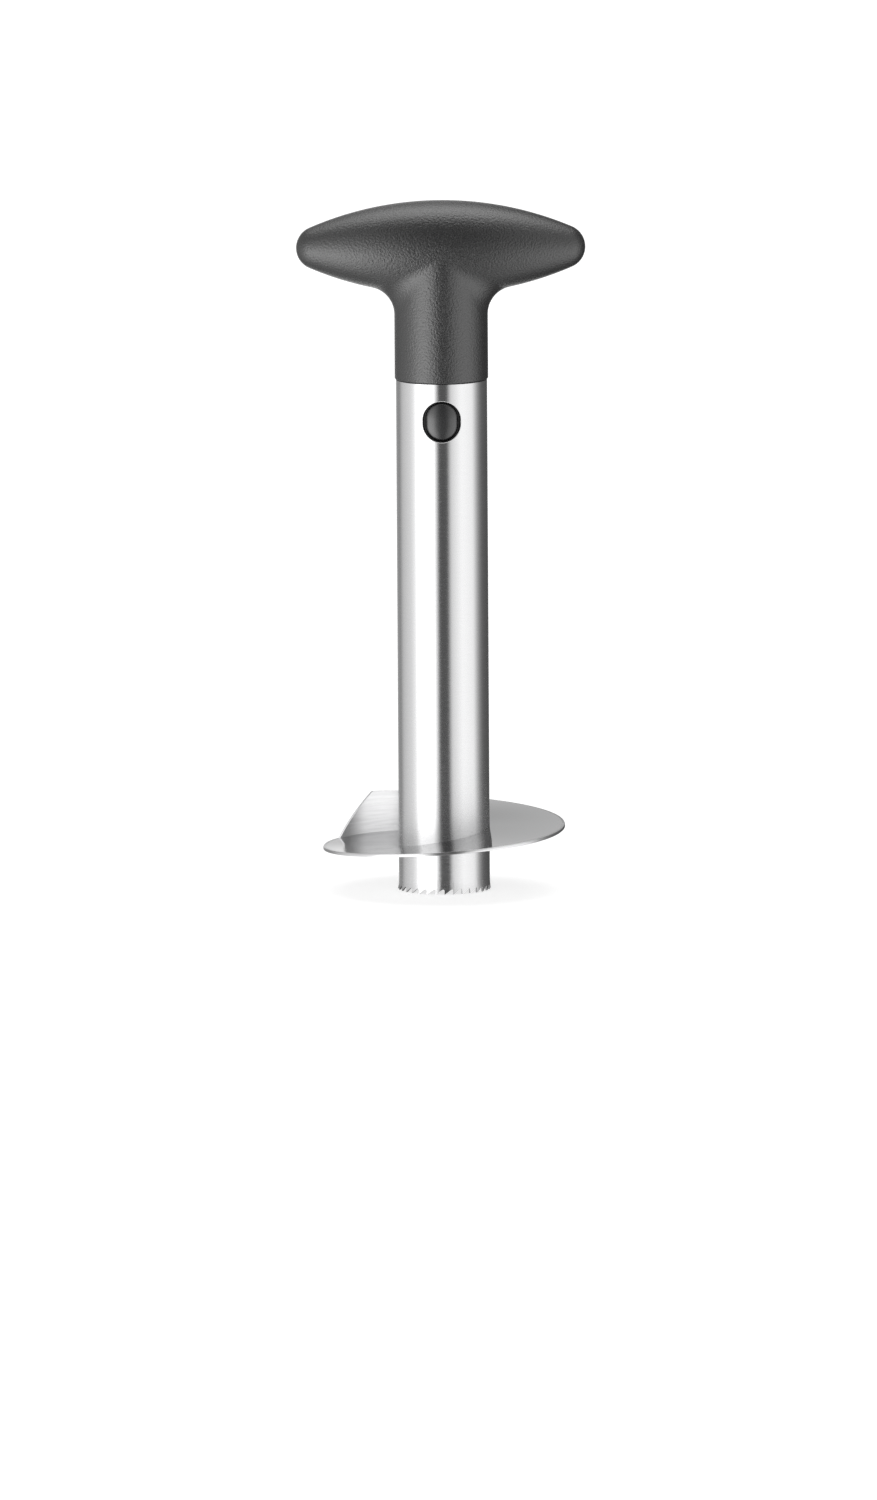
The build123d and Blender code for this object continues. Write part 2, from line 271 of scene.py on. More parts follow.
def steps_between(start, end, count):
    """Evenly spaced values from start to end."""
    return [start + (end - start) * n / count for n in range(count + 1)]


def new_shape_tree(name, sizes):
    """Makes a Geometry Nodes tree with a geometry input and output and a named input for each size."""
    tree = bpy.data.node_groups.new(name, "GeometryNodeTree")
    tree.interface.new_socket(name="Geometry", in_out="INPUT", socket_type="NodeSocketGeometry")
    tree.interface.new_socket(name="Geometry", in_out="OUTPUT", socket_type="NodeSocketGeometry")
    for label, value in sizes.items():
        kind = "NodeSocketInt" if isinstance(value, int) else "NodeSocketFloat"
        tree.interface.new_socket(name=label, in_out="INPUT", socket_type=kind)
    given = tree.nodes.new("NodeGroupInput").outputs
    return tree, given


def end_shape_tree(tree, shape, material):
    """Ends a tree in Realize Instances and Set Material."""
    real = add_node(tree, "GeometryNodeRealizeInstances", {"Geometry": shape})
    dressed = add_node(tree, "GeometryNodeSetMaterial", {"Geometry": real.outputs[0], "Material": material})
    add_node(tree, "NodeGroupOutput", {"Geometry": dressed.outputs[0]})


def grown_piece(name, tree, sizes, carrier_data):
    """Runs a tree on a carrier with the sizes given and keeps the result as a plain mesh piece."""
    carrier = bpy.data.objects.new(name + "_carrier", carrier_data)
    bpy.context.scene.collection.objects.link(carrier)
    modifier = carrier.modifiers.new("Grow", "NODES")
    modifier.node_group = tree
    for item in tree.interface.items_tree:
        if item.in_out == "INPUT" and item.name in sizes:
            modifier[item.identifier] = sizes[item.name]
    evaluated = carrier.evaluated_get(bpy.context.evaluated_depsgraph_get())
    mesh = bpy.data.meshes.new_from_object(evaluated)
    mesh.name = name
    bpy.data.objects.remove(carrier)
    piece = bpy.data.objects.new(name, mesh)
    bpy.context.scene.collection.objects.link(piece)
    return piece


def clean(work):
    """Merges a mesh's doubles and takes out what has no area."""
    bmesh.ops.remove_doubles(work, verts=work.verts, dist=merge_distance)
    bmesh.ops.dissolve_degenerate(work, edges=work.edges, dist=smallest_edge)


def mesh_piece(name, points, faces, material=None):
    """Makes a mesh piece from points and faces, with doubles merged and normals outwards."""
    mesh = bpy.data.meshes.new(name)
    mesh.from_pydata([tuple(p) for p in points], [], faces)
    piece = bpy.data.objects.new(name, mesh)
    bpy.context.scene.collection.objects.link(piece)
    work = bmesh.new()
    work.from_mesh(mesh)
    clean(work)
    bmesh.ops.recalc_face_normals(work, faces=work.faces)
    work.to_mesh(mesh)
    work.free()
    if material:
        mesh.materials.append(material)
    return piece


def smooth_by_angle(piece, angle=35.0):
    """Shades a piece smooth, and keeps edges sharper than the angle."""
    work = bmesh.new()
    work.from_mesh(piece.data)
    clean(work)
    for face in work.faces:
        face.smooth = True
    for edge in work.edges:
        edge.smooth = len(edge.link_faces) == 2 and edge.calc_face_angle() < math.radians(angle)
    work.to_mesh(piece.data)
    work.free()


def cut(piece, cutter):
    """Cuts a closed cutter out of a piece and removes the cutter."""
    modifier = piece.modifiers.new("Cut", "BOOLEAN")
    modifier.operation = "DIFFERENCE"
    modifier.solver = "EXACT"
    modifier.object = cutter
    evaluated = piece.evaluated_get(bpy.context.evaluated_depsgraph_get())
    mesh = bpy.data.meshes.new_from_object(evaluated)
    piece.modifiers.clear()
    old, piece.data = piece.data, mesh
    bpy.data.meshes.remove(old)
    bpy.data.objects.remove(cutter)


def skin_rows(count, width, closed_rows=True, close_ends=False):
    """Faces between a number of rows with as many points in each, the width."""
    faces = []
    for row in range(count - 1):
        for column in range(width if closed_rows else width - 1):
            a = row * width + column
            b = row * width + (column + 1) % width
            faces.append((a, b, b + width, a + width))
    if close_ends:
        faces.append(tuple(range(width)))
        faces.append(tuple((count - 1) * width + i for i in range(width)))
    return faces


def add_part(points, faces, more_points, more_faces):
    """Adds a part's points and faces to a list of each."""
    base = len(points)
    points += more_points
    faces += [tuple(base + i for i in face) for face in more_faces]


def turned(profile, steps, level, along):
    """Points and faces of (radius, place) pairs turned about an axis at a level, with closed ends."""
    points = []
    for radius, place in profile:
        for step in range(steps):
            angle = 2 * math.pi * step / steps
            across, up = radius * math.cos(angle), radius * math.sin(angle)
            spot = {
                "X": Vector((place, across, up)),
                "Y": Vector((across, place, up)),
                "Z": Vector((across, up, place)),
            }[along]
            points.append(Vector((0, 0, level)) + spot)
    return points, skin_rows(len(profile), steps, close_ends=True)


def hand_over(piece, body, slot, *nodes):
    """Puts a piece on its body and hides the nodes that it stands for. The slot is not used."""
    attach(piece, body)
    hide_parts(*nodes)


def dress_node(name, material):
    """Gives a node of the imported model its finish."""
    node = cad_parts[name]
    if not node.material_slots:
        node.data.materials.append(material)
    for place in node.material_slots:
        place.material = material


# Materials

plastic_ior = 1.55


def new_material(name, finish):
    """Makes a material. The finish maps a socket of its shader to the value that it has all over."""
    material = bpy.data.materials.new(name)
    material.use_nodes = True
    tree = material.node_tree
    shader = tree.nodes["Principled BSDF"]
    for key, value in finish.items():
        shader.inputs[key].default_value = value
    return material, tree, shader


def object_place(tree):
    """The place on the piece, in the row's frame."""
    return add_node(tree, "ShaderNodeTexCoord").outputs["Object"]


def scaled_place(tree, scale):
    """The place on the piece, scaled along each axis."""
    return add_node(tree, "ShaderNodeMapping", {"Vector": object_place(tree), "Scale": scale}).outputs[0]


def grain_bump(tree, shader, height, strength, depth):
    """Gives the shader a bump from a height, over any that it has."""
    bump = add_node(tree, "ShaderNodeBump", {"Strength": strength, "Distance": depth, "Height": height})
    for under in shader.inputs["Normal"].links:
        tree.links.new(under.from_socket, bump.inputs["Normal"])
    tree.links.new(bump.outputs[0], shader.inputs["Normal"])


def brush_round(tree, shader, strength):
    """Gives steel a brushed gloss: grooves round Z, which blur what it mirrors along Z alone."""
    tangent = add_node(tree, "ShaderNodeTangent", direction_type="RADIAL", axis="Z")
    tree.links.new(tangent.outputs[0], shader.inputs["Tangent"])
    shader.inputs["Anisotropic"].default_value = strength
    shader.inputs["Anisotropic Rotation"].default_value = 0.25


def toned(tree, shader, colour, level):
    """Gives the shader a colour whose brightness is scaled by a level."""
    tone = add_node(tree, "ShaderNodeHueSaturation", {"Color": (*colour, 1), "Value": level})
    tree.links.new(tone.outputs[0], shader.inputs["Base Color"])


def cut_share(tree):
    """1 on a piece's cut edges and 0 elsewhere."""
    return add_node(tree, "ShaderNodeAttribute", attribute_name="cut_edge").outputs["Fac"]


def tube_steel(colour):
    """Steel tube brushed round its axis, darker and duller on its cut edges."""
    material, tree, shader = new_material("tube_steel", {"Metallic": 1.0})
    brush_round(tree, shader, 0.95)
    cut, darker, duller = cut_share(tree), -0.45, 0.35
    streaks = noise(tree, scaled_place(tree, (260, 260, 1500)))
    drawn = spread(tree, streaks, 0.93, 1.0, start=0.3, end=0.7)
    toned(tree, shader, colour, math_node(tree, "MULTIPLY_ADD", cut, darker, drawn))
    rough = math_node(tree, "MULTIPLY_ADD", cut, duller, spread(tree, streaks, 0.19, 0.32))
    tree.links.new(rough, shader.inputs["Roughness"])
    mottle = noise(tree, object_place(tree), scale=3000.0)
    lines = noise(tree, scaled_place(tree, (90, 90, 3600)), detail=3.0)
    grain_bump(tree, shader, mottle, strength=0.1, depth=0.00005)
    grain_bump(tree, shader, lines, strength=0.1, depth=0.00003)
    return material


def rolled_grain(tree, pitch, length):
    """Noise drawn out round the tube's axis, with a pitch across its streaks and a length along them."""
    x, y, z = add_node(tree, "ShaderNodeSeparateXYZ", {0: object_place(tree)}).outputs
    squares = math_node(tree, "ADD", math_node(tree, "MULTIPLY", x, x), math_node(tree, "MULTIPLY", y, y))
    radius = math_node(tree, "SQRT", squares)
    across = add_node(tree, "ShaderNodeCombineXYZ", {
        0: math_node(tree, "DIVIDE", radius, pitch),
        1: math_node(tree, "DIVIDE", x, length),
        2: math_node(tree, "DIVIDE", y, length),
    })
    grain = add_node(tree, "ShaderNodeTexNoise", {
        "Vector": across.outputs[0], "W": math_node(tree, "DIVIDE", z, pitch), "Scale": 1.0, "Detail": 3.0,
    }, noise_dimensions="4D")
    return grain.outputs[0], radius


def blade_steel(colour, thickness):
    """Steel sheet with its grain along the blade, satin on the upright knife and dull on cut edges; the knife is
    also toned lighter, a painted sheen.
    """
    material, tree, shader = new_material("blade_steel", {
        "Metallic": 1.0, "Specular Tint": (0.75, 0.75, 0.75, 1)})
    brush_round(tree, shader, 0.9)
    cut, darker, duller = cut_share(tree), -0.3, 0.2
    grain, radius = rolled_grain(tree, pitch=0.00025, length=0.03)
    streaks, _ = rolled_grain(tree, pitch=0.0008, length=0.012)
    # The knife is the rim's own sheet, so it starts a thickness inside the rim, with a little to spare
    knife_depth = 1.1 * thickness
    upright = math_node(tree, "GREATER_THAN", radius, blade_high.x - knife_depth)
    # Painted sheen: the upright knife, the same sheet as the blade, is toned 4 to 20 per cent lighter along its
    # brushed streaks. The streaks are grain, and the lift is painted light.
    drawn = spread(tree, streaks, 0.04, 0.2, start=0.3, end=0.7)
    level = math_node(tree, "MULTIPLY_ADD", upright, drawn, 1.0)
    toned(tree, shader, colour, math_node(tree, "MULTIPLY_ADD", cut, darker, level))
    satin = math_node(tree, "MULTIPLY", math_node(tree, "MAXIMUM", upright, cut), duller)
    rough = math_node(tree, "ADD", satin, spread(tree, grain, 0.05, 0.12))
    tree.links.new(rough, shader.inputs["Roughness"])
    grain_bump(tree, shader, grain, strength=0.08, depth=0.00002)
    return material


def weld_steel():
    """Slightly tinted, satin weld metal."""
    material, tree, shader = new_material("weld_steel", {"Metallic": 1.0, "Roughness": 0.35})
    spots = noise(tree, object_place(tree), scale=900.0)
    tint = mixed(tree, spots, (0.62, 0.6, 0.57, 1), (0.5, 0.5, 0.52, 1))
    tree.links.new(tint, shader.inputs["Base Color"])
    return material


def wire_steel():
    """Drawn spring and screw steel."""
    material, tree, shader = new_material("hardware_steel", {
        "Metallic": 1.0, "Base Color": (0.6, 0.6, 0.61, 1)})
    grain = noise(tree, object_place(tree), scale=2500.0)
    tree.links.new(spread(tree, grain, 0.2, 0.35), shader.inputs["Roughness"])
    return material


def pebbled_plastic(colour):
    """Charcoal grip plastic with a fine pebble grain."""
    material, tree, shader = new_material("grip_plastic", {"IOR": plastic_ior, "Specular IOR Level": 1.0})
    place = object_place(tree)
    pebbles = noise(tree, place, scale=1400.0, detail=2.5, roughness=0.65)
    cloud = noise(tree, place, scale=60.0, detail=3.0)
    light = (*(c * 1.12 for c in colour), 1)
    dark = (*(c * 0.9 for c in colour), 1)
    tree.links.new(mixed(tree, cloud, dark, light), shader.inputs["Base Color"])
    tree.links.new(spread(tree, pebbles, 0.22, 0.32), shader.inputs["Roughness"])
    grain_bump(tree, shader, pebbles, strength=0.7, depth=0.0003)
    return material


def satin_plastic(name, colour, low, high, gloss=1.0):
    """Smooth moulded plastic with a faint vertical draw, its roughness from low to high."""
    material, tree, shader = new_material(name, {
        "Base Color": (*colour, 1), "IOR": plastic_ior, "Specular IOR Level": gloss})
    grain = noise(tree, scaled_place(tree, (2600, 2600, 160)))
    tree.links.new(spread(tree, grain, low, high), shader.inputs["Roughness"])
    grain_bump(tree, shader, grain, strength=0.1, depth=0.00003)
    return material


# Corer tube

class SLICER_OT_corer_tube(bpy.types.Operator):
    """Make the toothed tube with its two button windows"""

    bl_idname = "slicer.corer_tube"
    bl_label = "Corer Tube"

    columns_per_tooth = 24
    rows = 26
    window_steps = 64
    # The power of a row's share of the height, which crowds the rows at the teeth
    row_power = 3.0
    # Keeps a column that stands where two pitches meet from falling to either by rounding
    pitch_shift = 0.0001

    # The gullet's line over one pitch: a straight back, a round crest and a steep flank. All columns
    # lean over a little at the height of the crest, which hooks the flank.
    rise_line = ((0.0, 0.0), (0.04, 0.02), (0.58, 0.8), (0.7, 0.95), (0.8, 1.0), (0.9, 0.96), (0.96, 0.72),
                 (1.0, 0.0))
    lean_line = ((0.0, 0.0), (0.1, 0.8), (0.17, 1.0), (0.3, 0.8), (1.0, 0.0))
    # The lean as a share of the pitch, and the height that its line covers in tooth depths
    lean_share = 0.08
    lean_depths = 8.0

    def tooth_curve(self, tree, value, line):
        """The height of a line of (share, share) points at a value."""
        node = add_node(tree, "ShaderNodeFloatCurve", {"Value": value})
        curve = node.mapping.curves[0]
        curve.points[-1].location = line[-1]
        curve.points[0].location = line[0]
        for run, rise in line[1:-1]:
            curve.points.new(run, rise)
        for point in curve.points:
            point.handle_type = "VECTOR"
        node.mapping.update()
        return node.outputs[0]

    def tree(self, sizes, material):
        """A sheet of columns bent round the axis, with the teeth's line as its foot, given its wall."""
        tree, given = new_shape_tree("ToothedTube", sizes)
        teeth, depth = given["Teeth"], given["Tooth depth"]
        cells = math_node(tree, "MULTIPLY", teeth, float(self.columns_per_tooth))
        grid = add_node(tree, "GeometryNodeMeshGrid", {
            "Size X": 1.0, "Size Y": 1.0, "Vertices X": math_node(tree, "ADD", cells, 1.0),
            "Vertices Y": self.rows})
        position = add_node(tree, "GeometryNodeInputPosition").outputs[0]
        place = add_node(tree, "ShaderNodeSeparateXYZ", {0: position})
        round_share = math_node(tree, "ADD", place.outputs[0], 0.5)
        up_share = math_node(tree, "ADD", place.outputs[1], 0.5)
        pitches = math_node(tree, "ADD", math_node(tree, "MULTIPLY", round_share, teeth), self.pitch_shift)
        rise = self.tooth_curve(tree, math_node(tree, "FRACT", pitches), self.rise_line)
        foot = math_node(tree, "MULTIPLY", rise, depth)
        climb = math_node(tree, "POWER", up_share, self.row_power)
        level = spread(tree, climb, foot, given["Length"])
        lean_height = math_node(tree, "MULTIPLY", depth, self.lean_depths)
        lean = self.tooth_curve(tree, math_node(tree, "DIVIDE", level, lean_height), self.lean_line)
        shift = math_node(tree, "DIVIDE", math_node(tree, "MULTIPLY", lean, self.lean_share), teeth)
        turn = math_node(tree, "MULTIPLY", math_node(tree, "ADD", round_share, shift), 2 * math.pi)
        flare_share = math_node(tree, "DIVIDE", level, given["Flare length"])
        open_share = math_node(tree, "SUBTRACT", 1.0, flare_share, clamp=True)
        growth = math_node(tree, "MULTIPLY", open_share, given["Flare growth"])
        radius = math_node(tree, "ADD", given["Radius"], growth)
        out_x = math_node(tree, "COSINE", turn)
        out_y = math_node(tree, "SINE", turn)
        outwards = add_node(tree, "ShaderNodeCombineXYZ", {0: out_x, 1: out_y, 2: 0.0})
        spot = add_node(tree, "ShaderNodeCombineXYZ", {
            0: math_node(tree, "MULTIPLY", out_x, radius),
            1: math_node(tree, "MULTIPLY", out_y, radius),
            2: level,
        })
        direction = add_node(tree, "GeometryNodeStoreNamedAttribute", {
            "Geometry": grid.outputs[0], "Name": "outwards", "Value": outwards.outputs[0],
        }, data_type="FLOAT_VECTOR", domain="POINT")
        bent = add_node(tree, "GeometryNodeSetPosition", {
            "Geometry": direction.outputs[0], "Position": spot.outputs[0]})
        sheet = add_node(tree, "GeometryNodeMergeByDistance", {
            "Geometry": bent.outputs[0], "Distance": merge_distance})
        stored = add_node(tree, "GeometryNodeInputNamedAttribute", {
            "Name": "outwards"}, data_type="FLOAT_VECTOR")
        inwards = add_node(tree, "ShaderNodeVectorMath", {
            0: result(stored), "Scale": math_node(tree, "MULTIPLY", given["Wall"], -1.0),
        }, operation="SCALE")
        inner = add_node(tree, "GeometryNodeExtrudeMesh", {
            "Mesh": sheet.outputs[0], "Offset": inwards.outputs[0], "Offset Scale": 1.0, "Individual": False})
        marked = add_node(tree, "GeometryNodeStoreNamedAttribute", {
            "Geometry": inner.outputs[0], "Name": "cut_edge", "Value": inner.outputs["Side"],
        }, data_type="FLOAT", domain="FACE")
        flipped = add_node(tree, "GeometryNodeFlipFaces", {"Mesh": marked.outputs[0]})
        joined = add_node(tree, "GeometryNodeJoinGeometry")
        tree.links.new(flipped.outputs[0], joined.inputs[0])
        tree.links.new(sheet.outputs[0], joined.inputs[0])
        tube = add_node(tree, "GeometryNodeMergeByDistance", {
            "Geometry": joined.outputs[0], "Distance": merge_distance})
        end_shape_tree(tree, tube.outputs[0], material)
        return tree

    def window_cutter(self, sizes, rows):
        """An obround bar along Y, lofted through (growth, depth) rows; a depth is a function of X."""
        straight = sizes.window_height - sizes.window_width
        points = []
        for growth, depth in rows:
            radius = sizes.window_width / 2 + growth
            for step in range(self.window_steps):
                angle = 2 * math.pi * (step + 0.5) / self.window_steps
                up = math.copysign(straight / 2, math.sin(angle)) + radius * math.sin(angle)
                x = radius * math.cos(angle)
                points.append(Vector((x, depth(x), button_level + up)))
        faces = skin_rows(len(rows), self.window_steps, close_ends=True)
        return mesh_piece("window_cutter", points, faces)

    def edge_cutter(self, sizes, radius, side):
        """A cutter that breaks a window's outer edge; side is -1 for the front."""
        trim = sizes.window_edge

        def on_cylinder(share):
            around = radius + (share - 1) * trim
            return share * trim, lambda x: side * math.sqrt(around**2 - x**2)

        inner = (-2 * trim, lambda x: side * radius / 2)
        outer = (2 * trim, lambda x: side * 2 * radius)
        return self.window_cutter(sizes, [inner, on_cylinder(-0.5), on_cylinder(2), outer])

    def execute(self, context):
        sizes = context.scene.slicer_tube
        material = tube_steel(sizes.steel)
        radius = tube_high.x - sizes.flare_growth
        given = {
            "Radius": radius, "Wall": sizes.wall, "Length": tube_high.z, "Flare length": sizes.flare_length,
            "Flare growth": sizes.flare_growth, "Teeth": sizes.tooth_count, "Tooth depth": sizes.tooth_depth,
        }
        tube = grown_piece("tube", self.tree(given, material), given, bpy.data.meshes.new("tube_seed"))
        ends = [(0, lambda x: -2 * radius), (0, lambda x: 2 * radius)]
        cut(tube, self.window_cutter(sizes, ends))
        for side in (-1, 1):
            cut(tube, self.edge_cutter(sizes, radius, side))
        smooth_by_angle(tube)
        hand_over(tube, "tool", "tube_steel", "corer_tube")
        return {"FINISHED"}


# Slicing blade

class SLICER_OT_slicing_blade(bpy.types.Operator):
    """Make the helical blade with its upright perimeter knife, and the weld under it"""

    bl_idname = "slicer.slicing_blade"
    bl_label = "Slicing Blade"

    # Room between the blade and the tube
    seat_gap = 0.00005
    bend_steps = 6
    # The angle over which the bend closes up, the rim bevel's width as a share of its height, and how
    # far a normal may lean for its face to count as a cut edge
    bend_fade = 5.0
    bevel_lean = 0.45
    cut_lean = 0.35
    # Angles at the cutting edge, round the slant's top and at the upper end with closer stations
    lead_run = 6
    top_run = 2
    trail_run = 8
    trail_stations = 20
    # The weld's ripples, and the angle by which it stops short of the blade's ends
    ripple_pitch = 0.00055
    ripple_radius = 0.0006
    ripple_height = 0.7
    ripple_segments, ripple_rings = 10, 8
    weld_end_angle = 5.0
    weld_stations = 180

    def level(self, angle):
        """The height of the top face at an angle."""
        sizes = self.sizes
        flat_level = blade_low.z + sizes.thickness
        run = max(angle - sizes.flat_end, 0)
        eased = min(run, sizes.blend) ** 2 / (2 * sizes.blend) + max(run - sizes.blend, 0)
        return flat_level + sizes.rise * eased / (sizes.trail_edge - sizes.flat_end - sizes.blend / 2)

    def knife_line(self, angle):
        """The height of the knife's edge over the flat, rounded where the slant meets the top."""
        sizes = self.sizes
        if angle >= sizes.knife_foot:
            return 0
        along = min((angle - sizes.lead_edge) / (sizes.knife_top - sizes.lead_edge), 1)
        height = sizes.knife_height + sizes.knife_drop * (along - 0.5)
        middle = (sizes.knife_foot + sizes.knife_top) / 2
        reach = math.sin(math.radians(sizes.knife_foot - middle))
        slant = height * (reach - math.sin(math.radians(angle - middle))) / (2 * reach)
        soft = sizes.knife_corner / 3
        blend = max(soft - abs(slant - height), 0)
        return max(min(slant, height) - blend**2 / (4 * soft), 0)

    def rim_radius(self, angle):
        """The outer radius, rounded at the upper end's corner."""
        corner = self.sizes.trail_corner
        run = math.radians(self.sizes.trail_edge - angle) * self.radius
        short = max(corner - run, 0)
        return self.radius - corner + math.sqrt(corner**2 - short**2)

    def section(self, angle):
        """The blade's closed outline at an angle, as (radius, height) pairs: top side, then underside."""
        sizes = self.sizes
        thick, trim = sizes.thickness, sizes.edge_break
        rim, top = self.rim_radius(angle), self.level(angle)
        line = top + self.knife_line(angle)
        run = math.radians(angle - sizes.lead_edge) * self.radius
        ground = max(1 - run / sizes.bevel_width, 0) * (thick - sizes.edge_land)
        # The bend's outer rounding closes up behind the knife's foot
        past = min(max((angle - sizes.knife_foot) / self.bend_fade, 0), 1)
        outer_bend = (sizes.bend_radius + thick) * (1 - past) + trim / 2 * past
        bend_start = rim - thick - sizes.bend_radius
        middle = (self.seat + bend_start) / 2
        upper = [(self.seat, top - ground), (middle, top - ground)]
        lower = []
        for turn in steps_between(0, 90, self.bend_steps):
            sine, cosine = math.sin(math.radians(turn)), math.cos(math.radians(turn))
            inside = sizes.bend_radius + ground * cosine**2
            outside = outer_bend - ground * sine**2
            upper.append((bend_start + inside * sine, min(top + sizes.bend_radius - inside * cosine, line)))
            lower.append((rim - outer_bend + outside * sine,
                          min(top - thick + outer_bend - outside * cosine, line - trim)))
        upper.append((rim - thick, line))
        upper.append((rim - ground - min(trim * self.bevel_lean, thick - ground), line))
        upper.append((rim - ground, line - trim))
        return upper + list(reversed(lower)) + [(middle, top - thick), (self.seat, top - thick)]

    def stations(self):
        """The angles of the outlines, closest together where the shape changes fastest."""
        sizes = self.sizes
        lead, top, foot, trail = sizes.lead_edge, sizes.knife_top, sizes.knife_foot, sizes.trail_edge
        # The angle at which each run ends and the stations in it
        runs = ((lead, 1), (lead + self.lead_run, 12), (top - self.top_run, 30), (top + self.top_run, 24),
                (foot, 42), (foot + self.bend_fade, 12), (trail - self.trail_run, 180))
        angles = [lead]
        for (start, _), (end, count) in zip(runs, runs[1:]):
            angles += steps_between(start, end, count)[1:]
        shares = steps_between(1, 0, self.trail_stations)[1:]
        return angles + [trail - self.trail_run * share**2 for share in shares]

    def mark_cut_edges(self, blade):
        """Marks the faces of the sheet's cut edges, which are duller than its rolled sides."""
        sizes = self.sizes
        marks = blade.data.attributes.new("cut_edge", "FLOAT", "FACE")
        for face, mark in zip(blade.data.polygons, marks.data):
            centre, normal = face.center, face.normal
            out = Vector((centre.x, centre.y, 0)).normalized()
            along = Vector((-out.y, out.x, 0))
            on_rim = math.hypot(centre.x, centre.y) > self.radius - sizes.thickness
            on_knife = on_rim and math.degrees(math.atan2(centre.y, centre.x)) % 360 < sizes.knife_foot
            knife_edge = on_knife and abs(normal.dot(out)) < self.cut_lean and normal.z > -self.cut_lean
            trailing = normal.dot(along) > 1 - self.cut_lean
            mark.value = float(knife_edge or trailing)

    def execute(self, context):
        self.sizes = sizes = context.scene.slicer_blade
        self.radius = blade_high.x
        self.seat = tube_high.x - context.scene.slicer_tube.flare_growth + self.seat_gap
        points = []
        stations = self.stations()
        for angle in stations:
            turn = math.radians(angle)
            outline = self.section(angle)
            points += [Vector((r * math.cos(turn), r * math.sin(turn), z)) for r, z in outline]
        faces = skin_rows(len(stations), len(outline), close_ends=True)
        blade = mesh_piece("blade", points, faces, blade_steel(sizes.steel, sizes.thickness))
        smooth_by_angle(blade, angle=30)
        self.mark_cut_edges(blade)
        hand_over(blade, "tool", "blade_steel", "slicing_blade")
        weld = self.weld(context)
        hand_over(weld, "tool", "weld_steel", "blade_weld")
        return {"FINISHED"}

    def weld(self, context):
        """Ripples of weld metal along the blade's inner edge, on its underside."""
        sizes = self.sizes
        path = bpy.data.curves.new("weld_path", "CURVE")
        path.dimensions = "3D"
        inset = self.weld_end_angle
        angles = steps_between(sizes.lead_edge + inset, sizes.trail_edge - inset, self.weld_stations)
        line = path.splines.new("POLY")
        line.points.add(len(angles) - 1)
        for point, angle in zip(line.points, angles):
            turn = math.radians(angle)
            point.co = (self.seat * math.cos(turn), self.seat * math.sin(turn),
                        self.level(angle) - sizes.thickness - self.ripple_radius / 4, 1)
        given = {"Pitch": self.ripple_pitch, "Ripple radius": self.ripple_radius}
        tree, inputs = new_shape_tree("WeldRipples", given)
        spots = add_node(tree, "GeometryNodeCurveToPoints", {
            "Curve": inputs["Geometry"], "Length": inputs["Pitch"]}, mode="LENGTH")
        ripple = add_node(tree, "GeometryNodeMeshUVSphere", {
            "Segments": self.ripple_segments, "Rings": self.ripple_rings,
            "Radius": inputs["Ripple radius"]})
        flat = add_node(tree, "GeometryNodeTransform", {
            "Geometry": ripple.outputs[0], "Scale": (1.0, 1.0, self.ripple_height)})
        smooth = add_node(tree, "GeometryNodeSetShadeSmooth", {"Geometry": flat.outputs[0]})
        bead = add_node(tree, "GeometryNodeInstanceOnPoints", {
            "Points": spots.outputs["Points"], "Instance": smooth.outputs[0],
            "Rotation": spots.outputs["Rotation"]})
        end_shape_tree(tree, bead.outputs[0], weld_steel())
        return grown_piece("weld_bead", tree, given, path)


# Grip and its core

